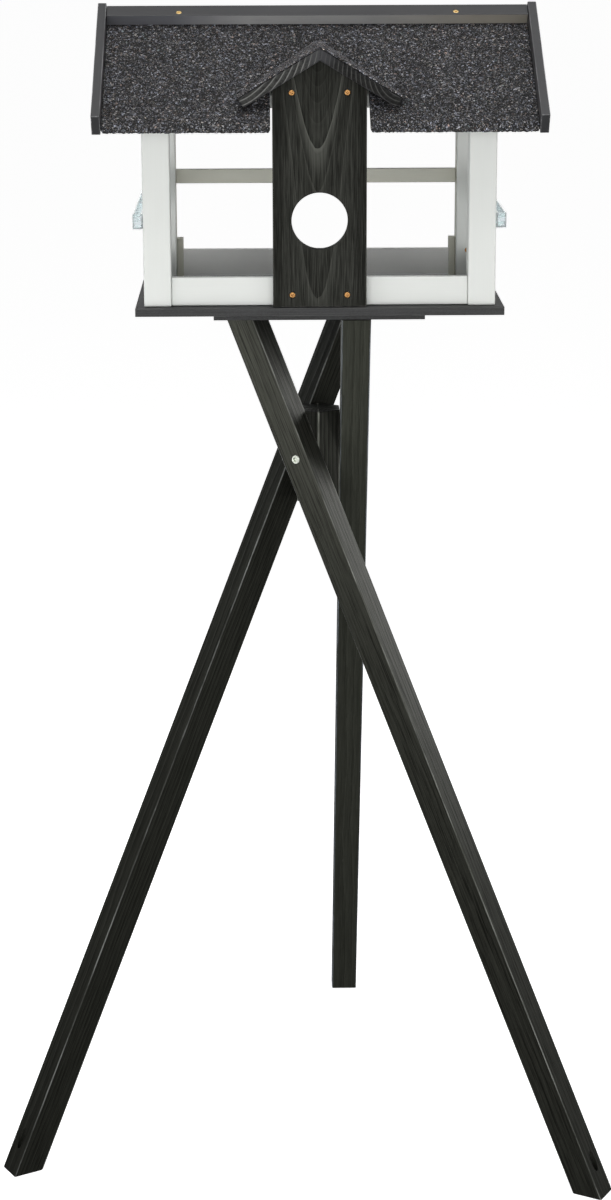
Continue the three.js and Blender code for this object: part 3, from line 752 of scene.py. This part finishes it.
def felt_profile(node, normal, down, height):
    """Runs of the felt's top and bend, the lip's angle and length, and all runs with corners."""
    points = corners_of(node)
    runs = [p.dot(down) for p in points if p.dot(normal) > height - 0.1 * MM]
    tip = max(points, key=lambda p: p.dot(down))
    lip = Vector((tip.dot(down) - max(runs), height - tip.dot(normal)))
    angle = math.atan2(lip.y, lip.x)
    return min(runs), max(runs), angle, lip.length, sorted({round(run, 6) for run in runs})


def notch_of(node, middle, start, bend, runs):
    """Left and right side of the notch round the front board, and the run where it starts."""
    sides = [p.x for p in corners_of(node) if NOTCH_HALF[0] < abs(p.x - middle) < NOTCH_HALF[1]]
    run = next(r for r in runs if start + NOTCH_START[0] < r < bend - NOTCH_START[1])
    return min(sides), max(sides), run


def bent_path(normal, down, height, bend, angle):
    """Function that gives the point and the normal at a run down the slope and over the bent lip."""
    def on_path(run):
        turned = angle * max(0.0, min(1.0, (run - bend + LIP_BEND) / LIP_BEND))
        flat = min(run, bend - LIP_BEND)
        rest = run - flat
        half = angle * min(1.0, rest / LIP_BEND) / 2 if rest > 0 else 0.0
        bent = min(rest, LIP_BEND)
        straight = max(0.0, rest - LIP_BEND)
        forward = flat + bent * math.cos(half) + straight * math.cos(angle)
        fall = bent * math.sin(half) + straight * math.sin(angle)
        facing = normal * math.cos(turned) + down * math.sin(turned)
        return down * forward + normal * (height - fall), facing
    return on_path


def corner_cut(near):
    """How far a rounded corner of the felt falls short, at that distance from its side."""
    if near < FELT_CORNER:
        return FELT_CORNER - math.sqrt(FELT_CORNER**2 - (FELT_CORNER - near) ** 2)
    return 0.0


def roof_felt(node, notched):
    """Granulated felt of one slope with its eave bent down, a ragged edge and rounded corners."""
    normal, down, height = slope_of(node)
    low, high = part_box(node)
    start, bend, angle, lip, runs = felt_profile(node, normal, down, height)
    sides = [low.x, high.x]
    stops = [start, bend - LIP_BEND, bend + lip]
    if notched:
        left, right, notch_run = notch_of(node, (low.x + high.x) / 2, start, bend, runs)
        sides = [low.x, left, right, high.x]
        stops.insert(1, notch_run)
    columns, lines = steps_through(sides), steps_through(stops)
    on_path = bent_path(normal, down, height, bend, angle)
    outer, inner = [], []
    for run in lines:
        row, under = [], []
        for x in columns:
            cut = 0.0
            if run > bend + lip - 0.6 * GRANULE:
                cut = RNG.uniform(0.0, RAGGED) * MM
            reach = bend + lip - corner_cut(min(abs(x - side) for side in sides))
            point, facing = on_path(min(run - cut, reach))
            point = point + Vector((x, 0, 0))
            row.append(point - facing * granules())
            under.append(point - facing * FELT_THICKNESS)
        outer.append(row)
        inner.append(under)

    def kept(i, j):
        x, r = (columns[j] + columns[j + 1]) / 2, (lines[i] + lines[i + 1]) / 2
        return not (notched and left < x < right and r > notch_run)

    mesh = sheet(node + "_finished", outer, inner, kept)
    dress(mesh, (X_AXIS, down, normal), (0, 0, 0))
    return place(mesh.name, mesh, ["felt"], BODY, [node])


def dormer_felt(node):
    """Felt over the dormer's two slopes, folded round its apex and cut off where it meets the roof."""
    low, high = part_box(node)
    middle = (low.x + high.x) / 2
    bm = clean_copy(node)
    slant = max((f for f in bm.faces if f.normal.z > 0.3 and f.normal.x > 0.3),
                key=lambda f: f.calc_area()).normal.copy()
    top = max(v.co.z for v in bm.verts)
    edge = max((v.co for v in bm.verts), key=lambda p: (round(p.x, 5), p.z)).x
    bm.free()
    roof_normal, _, roof_height = slope_of("roof_felt_front")
    fall = slant.x / slant.z

    def height(x):
        offset = abs(x - middle)
        if offset < DORMER_FOLD:
            return top - fall * (offset**2 / (2 * DORMER_FOLD) + DORMER_FOLD / 2)
        return top - fall * offset

    def normal_at(x):
        lean = max(-1.0, min(1.0, (x - middle) / DORMER_FOLD))
        return Vector((slant.x * lean, 0, slant.z)).normalized()

    columns = steps(2 * middle - edge, edge, GRANULE * 0.9)
    count = round(((roof_height - top * roof_normal.z) / roof_normal.y - low.y) / GRANULE)
    outer, inner = [], []
    for x in columns:
        row, under = [], []
        facing = normal_at(x)
        z = height(x)
        back = (roof_height + DORMER_GAP - z * roof_normal.z) / roof_normal.y
        for i in range(count + 1):
            point = Vector((x, low.y + (back - low.y) * i / count, z))
            row.append(point - facing * granules())
            under.append(point - facing * DORMER_FELT_THICKNESS)
        outer.append(row)
        inner.append(under)
    mesh = sheet(node + "_finished", outer, inner, lambda i, j: True)
    dress(mesh, WORLD_AXES, (0, 0, 0))
    return place(mesh.name, mesh, ["dormer_felt"], BODY, [node])


# ---------- fasteners

def circle(radius):
    return lambda angle: radius


def hexagon(flats):
    """Radius of a hexagon by angle; flats is its width across flats."""
    sector = math.tau / 6
    return lambda angle: flats / 2 / math.cos((angle % sector) - sector / 2)


def cross(reach, width):
    """Radius of a cross by angle."""
    def radius(angle):
        c, s = max(abs(math.cos(angle)), 1e-6), max(abs(math.sin(angle)), 1e-6)
        return max(min(reach / c, width / s), min(width / c, reach / s))
    return radius


def loft(name, rings):
    """Closed mesh through rings given as (radius by angle, height), from one axis point to the other."""
    bm = bmesh.new()
    loops = []
    for radius, height in rings[1:-1]:
        loop = []
        for i in range(ROUND_STEPS):
            angle = math.tau * (i + 0.5) / ROUND_STEPS
            r = radius(angle) * MM
            loop.append(bm.verts.new((r * math.cos(angle), r * math.sin(angle), height * MM)))
        loops.append(loop)
    ends = [bm.verts.new((0, 0, rings[0][1] * MM)), bm.verts.new((0, 0, rings[-1][1] * MM))]
    for i in range(ROUND_STEPS):
        j = (i + 1) % ROUND_STEPS
        bm.faces.new((ends[0], loops[0][i], loops[0][j]))
        for upper, lower in zip(loops, loops[1:]):
            bm.faces.new((upper[i], lower[i], lower[j], upper[j]))
        bm.faces.new((ends[1], loops[-1][j], loops[-1][i]))
    bmesh.ops.recalc_face_normals(bm, faces=bm.faces)
    return mesh_of(bm, name)


def thread(start, end, pitch, root, crest):
    """Rings of a thread from start down to end."""
    rings = []
    depth = start
    while depth > end:
        rings += [(circle(root), depth), (circle(crest), depth - pitch / 2)]
        depth -= pitch
    return rings


def drive_in(mesh, at, outwards, turn=0.0):
    """Moves a fastener from its own axis to its place, its head facing outwards."""
    direction = outwards.to_track_quat("Z", "Y").to_matrix().to_4x4()
    mesh.transform(Matrix.Translation(at) @ direction @ Matrix.Rotation(turn, 4, "Z"))
    soften(mesh, ROUND_LIMIT)
    dress(mesh, WORLD_AXES)


def outer_end(node, outwards):
    """Middle of a plain CAD fastener's outer end, and the fastener's length in millimetres."""
    points = [v.co for v in frame["nodes"][node].data.vertices]
    reach = [p.dot(outwards) for p in points]
    rim = [p for p, r in zip(points, reach) if r > max(reach) - 0.05 * MM]
    middle = (Vector(np.min(rim, 0)) + Vector(np.max(rim, 0))) / 2
    return middle, (max(reach) - min(reach)) / MM


def wood_screw(name, at, outwards, length, look, nodes=(), slot=None, turn=0.0):
    """Countersunk screw with a cross recess and a tapered, threaded shank."""
    rings = [(None, -1.6), (cross(1.0, 0.32), -1.6), (cross(1.9, 0.5), 0.0), (cross(2.05, 0.62), 0.04),
             (circle(2.6), 0.02), (circle(2.95), -0.06), (circle(3.15), -0.25), (circle(3.15), -0.5),
             (circle(1.7), -2.9)]
    rings += thread(-3.4, 4.5 - length, 1.4, 1.15, 1.55)
    rings += [(circle(1.1), 4.0 - length), (circle(0.3), 0.4 - length), (None, -length)]
    mesh = loft(name, rings)
    drive_in(mesh, at, outwards, turn)
    return place(name, mesh, [look], BODY, nodes, slot)


def screw_for(node, outwards, look):
    """A wood screw where its plain CAD solid is, its head's face on the solid's outer end."""
    at, length = outer_end(node, outwards)
    return wood_screw(node + "_finished", at, outwards, length, look, [node], turn=RNG.uniform(0, math.pi))


def bolt_axis(node):
    """Outward direction of a bolt: the normal of its end that lies farthest from the hub."""
    low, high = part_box("hub_block")
    centre = (low + high) / 2
    bm = clean_copy(node)
    ends = [f for f in bm.faces if len(f.verts) > 12]
    outer = max(ends, key=lambda f: ((f.calc_center_median() - centre).length, f.calc_area()))
    axis = outer.normal.copy()
    bm.free()
    return axis


def socket_bolt(node, outwards):
    """Socket-head bolt: chamfered and knurled head, hexagon socket with a drilled cone at its bottom."""
    at, length = outer_end(node, outwards)

    def knurl(angle):
        return 5.32 + 0.12 * math.cos(24 * angle)

    rings = [(None, -3.4), (circle(0.4), -3.3), (hexagon(4.9), -3.0), (hexagon(5.0), -0.3),
             (hexagon(5.4), 0.0), (circle(4.6), 0.0), (circle(4.95), -0.08), (circle(5.25), -0.4),
             (knurl, -0.8), (knurl, -5.9), (circle(3.0), -6.0), (circle(2.95), -8.0)]
    rings += thread(-9.0, 1.5 - length, 1.0, 2.5, 2.95)
    rings += [(circle(2.4), 0.6 - length), (circle(1.9), -length), (None, -length)]
    mesh = loft(node + "_finished", rings)
    drive_in(mesh, at, outwards)
    return place(mesh.name, mesh, ["zinc"], BODY, [node])


# ---------- front board

def ring(x, z, radius, count):
    """Points of a round outline."""
    angles = [math.tau * i / count for i in range(count)]
    return [(x + radius * math.cos(angle), z + radius * math.sin(angle)) for angle in angles]


def filled(node, loops, thickness, soft):
    """Flat board inside the first loop and outside the others, lying on its back."""
    curve = bpy.data.curves.new(node, "CURVE")
    curve.dimensions = "2D"
    curve.fill_mode = "BOTH"
    curve.extrude = thickness / 2 - soft
    curve.bevel_depth = soft
    curve.bevel_resolution = 2
    curve.offset = -soft
    for loop in loops:
        spline = curve.splines.new("POLY")
        spline.points.add(len(loop) - 1)
        for spot, (x, z) in zip(spline.points, loop):
            spot.co = (x, z, 0, 1)
        spline.use_cyclic_u = True
    shape = bpy.data.objects.new(node + "_outline", curve)
    mesh = bpy.data.meshes.new_from_object(shape)
    bpy.data.objects.remove(shape)
    mesh.name = node + "_finished"
    return mesh


def front_board(node):
    """Gabled board with a smooth round entrance, built from its outline with softened arrises."""
    low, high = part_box(node)
    middle = (low.x + high.x) / 2
    shoulder = max(round(p.z, 5) for p in corners_of(node) if abs(p.x - high.x) < 0.01 * MM)
    outline = [(low.x, low.z), (high.x, low.z), (high.x, shoulder), (middle, high.z), (low.x, shoulder)]
    loops = [outline, ring(middle, ENTRANCE_HEIGHT, ENTRANCE_RADIUS, ROUND_STEPS)]
    for i in range(1, 5):
        a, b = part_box(f"front_board_screw_{i}")
        centre = (a + b) / 2
        loops.append(ring(centre.x, centre.z, SCREW_HOLE_RADIUS, SCREW_HOLE_STEPS))
    mesh = filled(node, loops, high.y - low.y, TIMBER_ARRIS)
    mesh.transform(Matrix.Translation((0, (low.y + high.y) / 2, 0)) @ Matrix.Rotation(math.pi / 2, 4, "X"))
    bm = bmesh.new()
    bm.from_mesh(mesh)
    bmesh.ops.remove_doubles(bm, verts=bm.verts, dist=0.01 * MM)
    bmesh.ops.recalc_face_normals(bm, faces=bm.faces)
    bm.to_mesh(mesh)
    bm.free()
    soften(mesh)
    dress(mesh, WORLD_AXES, (-2 * MM, 0, -(high.z - low.z) / 2))
    return place(mesh.name, mesh, ["front"], BODY, [node])


# ---------- slats and troughs

def dormer_slat(side, ridge, apex):
    """One of the dormer's two boards; ridge and apex are the front board's middle and top."""
    node = f"dormer_slat_{side}"
    across, up = APEX_TO_PITH[side]
    bm = clean_copy(node)
    axes = grain_axes(bm, Y_AXIS)
    points = along_axes([v.co for v in bm.verts], axes)
    bm.free()
    pith = Vector((ridge + across, 0, apex + up))
    centre = (points.min(0) + points.max(0)) / 2
    offset = (pith.dot(axes[0]) - centre[0], pith.dot(axes[1]) - centre[1], 0.0)
    timber(node, f"slat_{side}", SLAT_ARRIS, along=Y_AXIS, pith=offset,
           wanted=lambda edge: max(abs(v.co.x - ridge) for v in edge.verts) > MM)


def trough(node):
    """Clear tray with its hooks."""
    bm = clean_copy(node)
    round_arrises(bm, TROUGH_ARRIS, steps=2, shortest=SHORTEST_TROUGH_ARRIS)
    mesh = mesh_of(bm, node + "_finished")
    soften(mesh)
    dress(mesh, (X_AXIS, Z_AXIS, Y_AXIS))
    place(mesh.name, mesh, ["plastic"], body_of(node), [node])


# ---------- the pieces

for name in ("front", "left", "rear"):
    timber(f"leg_{name}", f"leg_{name}", LEG_ARRIS, shortest=SHORTEST_LEG_ARRIS)
    socket_bolt(f"hub_bolt_{name}", bolt_axis(f"hub_bolt_{name}"))
timber("hub_block", "hub", HUB_ARRIS, along=Z_AXIS)

for node in ("base_board", "mounting_board", "roof_panel_front", "roof_panel_rear"):
    timber(node, "board", THIN_ARRIS)

for node, slot in SLOTS.items():
    if slot == "white_paint":
        thin = node.startswith("rail_guide")
        arris = THIN_ARRIS if thin else POST_ARRIS if node.startswith("post") else PAINTED_ARRIS
        # the mid rails and rail guides inside the house get the painted shade of the shaded white
        in_shade = thin or node.startswith("mid_rail")
        # the rear rail gets the painted light of the lit white
        look = "shaded_white" if in_shade else "lit_white" if node == "lift_rail_rear" else "white"
        paint = (INWARDS[node], "shaded_white") if node in INWARDS else None
        timber(node, look, arris, paint=paint)

for end in ("front", "rear"):
    normal, down, _ = slope_of(f"roof_felt_{end}")
    timber(f"ridge_board_{end}", "grey", PAINTED_ARRIS, paint=(down, "edge"))
    for side in ("left", "right"):
        # the barge boards' down-facing ends get the painted shade of the barge look
        timber(f"barge_{end}_{side}", "grey", PAINTED_ARRIS, paint=(down, "barge"))
    for i in (1, 2):
        screw_for(f"ridge_screw_{end}_{i}", normal, "lit_brass")
    roof_felt(f"roof_felt_{end}", end == "front")

front_board("front_board")
board_low, board_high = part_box("front_board")
for side in ("left", "right"):
    dormer_slat(side, (board_low.x + board_high.x) / 2, board_high.z)
dormer_felt("dormer_felt")

for side in ("left", "right"):
    trough(f"trough_{side}")

for i in range(1, 5):
    screw_for(f"front_board_screw_{i}", -Y_AXIS, "brass")
    screw_for(f"mounting_screw_{i}", -Z_AXIS, "zinc")
for i in range(1, 4):
    screw_for(f"leg_screw_{i}", Z_AXIS, "zinc")
for i in range(1, 3):
    screw_for(f"corner_screw_{i}", -Y_AXIS, "brass")

base_low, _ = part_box("base_board")
for end in ("front", "rear"):
    for side in ("left", "right"):
        low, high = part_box(f"post_{end}_{side}")
        at = Vector(((low.x + high.x) / 2, (low.y + high.y) / 2, base_low.z + 0.05 * MM))
        wood_screw(f"post_screw_{end}_{side}", at, -Z_AXIS, POST_SCREW_LENGTH, "zinc", slot="zinc_steel",
                   turn=RNG.uniform(0, math.pi))


# ---------- stage, lights and camera

def glowing(name, glow):
    """Matt white that also glows, so that it looks pale wherever the lights don't reach it."""
    t = Tree(name)
    t.shader.inputs["Specular IOR Level"].default_value = 0.0
    return t.finish(Base_Color=(0.92, 0.92, 0.92), Roughness=0.9, Emission_Color=(1.0, 1.0, 1.0),
                    Emission_Strength=glow)


def stage_piece(mesh, glow):
    """Puts a mesh on the stage. It neither lights the object nor shows in its reflections."""
    mesh.materials.append(glowing(mesh.name, glow))
    piece = bpy.data.objects.new(mesh.name, mesh)
    piece.visible_diffuse = False
    piece.visible_glossy = False
    bpy.context.scene.collection.objects.link(piece)
    piece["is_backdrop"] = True
    return piece


def floor():
    mesh = bpy.data.meshes.new("floor")
    corners = [(x * STAGE_REACH, y * STAGE_REACH, 0) for x, y in ((-1, -1), (1, -1), (1, 1), (-1, 1))]
    mesh.from_pydata(corners, [], [(0, 1, 2, 3)])
    piece = stage_piece(mesh, FLOOR_GLOW)
    piece.location.z = -0.5 * MM


def backdrop():
    """Pale dome over the floor, which shows only in views from low down."""
    bm = bmesh.new()
    bmesh.ops.create_uvsphere(bm, u_segments=48, v_segments=24, radius=0.98 * STAGE_REACH)
    bmesh.ops.delete(bm, geom=[v for v in bm.verts if v.co.z < -1.0], context="VERTS")
    bmesh.ops.reverse_faces(bm, faces=bm.faces)
    mesh = mesh_of(bm, "backdrop")
    mesh.shade_smooth()
    piece = stage_piece(mesh, BACKDROP_GLOW)
    piece.visible_shadow = False


def softbox(name, at, towards, width, height, radiance, colour=(1, 1, 1)):
    """An evenly glowing rectangle; radiance 1 looks white through a mirror."""
    data = bpy.data.lights.new(name, "AREA")
    data.shape = "RECTANGLE"
    data.size = width
    data.size_y = height
    data.energy = radiance * math.pi * width * height
    data.color = colour
    lamp = bpy.data.objects.new(name, data)
    lamp.location = at
    lamp.rotation_euler = (Vector(at) - Vector(towards)).to_track_quat("Z", "Y").to_euler()
    lamp.visible_camera = False
    bpy.context.scene.collection.objects.link(lamp)


def surroundings():
    """Pale room: brighter above than below."""
    world = bpy.data.worlds.new("studio")
    bpy.context.scene.world = world
    world.use_nodes = True
    nodes = world.node_tree.nodes
    links = world.node_tree.links
    place = nodes.new("ShaderNodeTexCoord")
    parts = nodes.new("ShaderNodeSeparateXYZ")
    links.new(place.outputs["Generated"], parts.inputs[0])
    level = nodes.new("ShaderNodeMapRange")
    level.interpolation_type = "SMOOTHSTEP"
    for socket, value in zip(level.inputs[1:5], (-0.4, 0.3, ROOM_BELOW, ROOM_ABOVE)):
        socket.default_value = value
    links.new(parts.outputs["Z"], level.inputs[0])
    links.new(level.outputs[0], nodes["Background"].inputs["Strength"])
    nodes["Background"].inputs["Color"].default_value = (1.0, 1.0, 1.0, 1.0)


def camera():
    data = bpy.data.cameras.new("camera")
    data.sensor_fit = "VERTICAL"
    data.sensor_height = CAMERA_FRAME
    data.lens = CAMERA_LENS
    data.clip_end = CAMERA_SIGHT
    piece = bpy.data.objects.new("camera", data)
    forward = Vector((math.sin(CAMERA_YAW) * math.cos(CAMERA_PITCH),
                      math.cos(CAMERA_YAW) * math.cos(CAMERA_PITCH),
                      -math.sin(CAMERA_PITCH)))
    level = Vector((math.cos(CAMERA_YAW), -math.sin(CAMERA_YAW), 0))
    above = level.cross(forward)
    right = level * math.cos(CAMERA_ROLL) + above * math.sin(CAMERA_ROLL)
    up = above * math.cos(CAMERA_ROLL) - level * math.sin(CAMERA_ROLL)
    turn = Matrix((right, up, -forward)).transposed().to_4x4()
    piece.matrix_world = Matrix.Translation(CAMERA_AT) @ turn
    bpy.context.scene.collection.objects.link(piece)
    bpy.context.scene.camera = piece


bpy.context.scene.view_settings.view_transform = "Standard"
floor()
backdrop()
softbox("front_box", (-0.1, -2.1, 1.1), HOUSE_CENTRE, 2.8, 1.3, 2.5)
softbox("top_box", (0.1, -0.5, 2.9), HOUSE_CENTRE, 1.8, 1.6, 1.6)
softbox("right_box", (1.6, 0.95, 1.2), (0.1, 0.05, 0.85), 1.0, 1.2, 2.5)
softbox("left_box", (-1.0, -0.7, 0.86), STAND_TOP, 0.45, 0.5, 4.8)
softbox("right_front_box", (1.0, -0.75, 0.82), STAND_TOP, 0.4, 0.4, 4.0)
softbox("left_strip", (-0.85, 1.3, 1.0), (0.0, 0.0, 0.9), 0.35, 1.9, 2.8, (0.93, 0.97, 1.0))
softbox("rear_box", (0.1, 2.3, 1.5), HOUSE_CENTRE, 1.8, 1.0, 1.2)
surroundings()
camera()

low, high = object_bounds()
